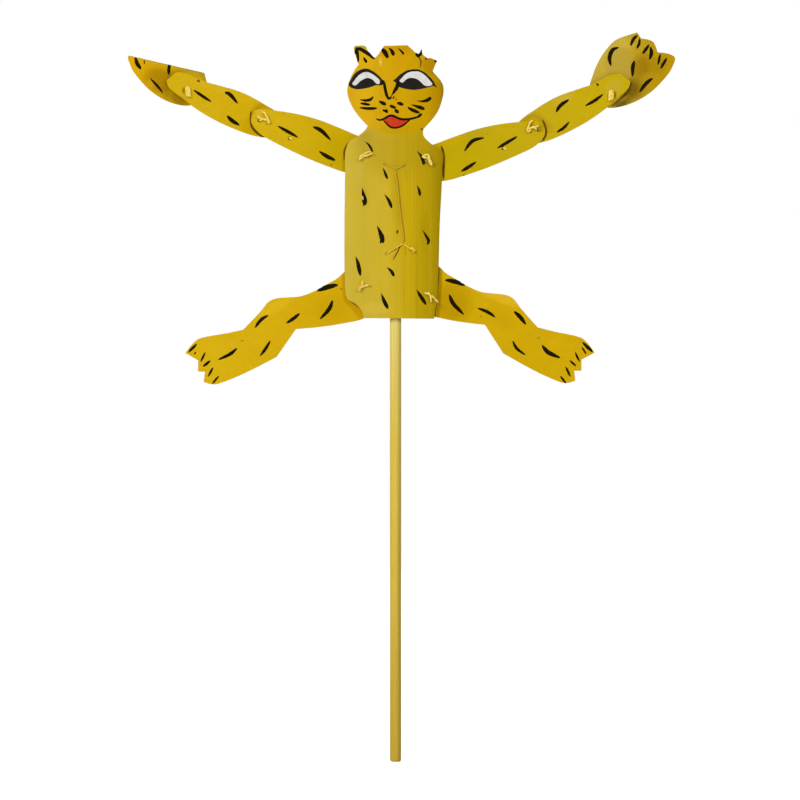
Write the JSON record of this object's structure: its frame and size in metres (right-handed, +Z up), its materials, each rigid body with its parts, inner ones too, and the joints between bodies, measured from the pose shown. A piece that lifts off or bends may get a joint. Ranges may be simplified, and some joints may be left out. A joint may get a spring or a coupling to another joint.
{
  "type": "stick puppet",
  "caption": "Flat jointed puppet of a leaping spotted cat, cut from painted card, strung with knotted cord and lashed to a round wooden stick.",
  "frame": {"origin": "centre of the stick's lower end, on the stick's axis", "axes": "+Z up the stick towards the head, the painted face looks along -Y, +X to the viewer's right"},
  "size_m": [0.4944, 0.0421, 0.6572],
  "materials": {
    "painted_card": "satin hand-brushed paint",
    "limb_card": "satin hand-brushed paint",
    "cord": "twisted twine",
    "stick_wood": "whittled, bare"
  },
  "bodies": {
    "body": {"torso": "painted_card", "stick": "stick_wood", "upper_lashing": "cord", "lower_lashing": "cord", "front_thread": "cord", "shoulder_cord_left": "cord", "shoulder_cord_right": "cord", "hip_cord_left": "cord", "hip_cord_right": "cord"},
    "upper_arm_left": {"upper_arm_left": "limb_card", "elbow_cord_left": "cord"},
    "upper_arm_right": {"upper_arm_right": "limb_card", "elbow_cord_right": "cord"},
    "forearm_left": {"forearm_left": "limb_card", "wrist_cord_left": "cord"},
    "forearm_right": {"forearm_right": "limb_card", "wrist_cord_right": "cord"},
    "hand_left": {"hand_left": "limb_card"},
    "hand_right": {"hand_right": "limb_card"},
    "leg_left": {"leg_left": "limb_card"},
    "leg_right": {"leg_right": "limb_card"}
  },
  "joints": [
    {"name": "shoulder_left", "type": "hinge", "parent": "body", "child": "upper_arm_left", "pos_m": [-0.027, 0, 0.546], "axis": [0, 1, 0], "range_deg": [-65, 50]},
    {"name": "shoulder_right", "type": "hinge", "parent": "body", "child": "upper_arm_right", "pos_m": [0.0295, 0, 0.542], "axis": [0, -1, 0], "range_deg": [-65, 50]},
    {"name": "elbow_left", "type": "hinge", "parent": "upper_arm_left", "child": "forearm_left", "pos_m": [-0.11653, 0, 0.57894], "axis": [0, -1, 0], "range_deg": [-100, 100]},
    {"name": "elbow_right", "type": "hinge", "parent": "upper_arm_right", "child": "forearm_right", "pos_m": [0.12435, 0, 0.57172], "axis": [0, 1, 0], "range_deg": [-100, 100]},
    {"name": "wrist_left", "type": "hinge", "parent": "forearm_left", "child": "hand_left", "pos_m": [-0.18736, 0, 0.60361], "axis": [0, -1, 0], "range_deg": [-70, 70]},
    {"name": "wrist_right", "type": "hinge", "parent": "forearm_right", "child": "hand_right", "pos_m": [0.19374, 0, 0.60018], "axis": [0, 1, 0], "range_deg": [-70, 70]},
    {"name": "hip_left", "type": "hinge", "parent": "body", "child": "leg_left", "pos_m": [-0.0306, 0, 0.428], "axis": [0, 1, 0], "range_deg": [-45, 50]},
    {"name": "hip_right", "type": "hinge", "parent": "body", "child": "leg_right", "pos_m": [0.032, 0, 0.418], "axis": [0, -1, 0], "range_deg": [-45, 50]}
  ]
}
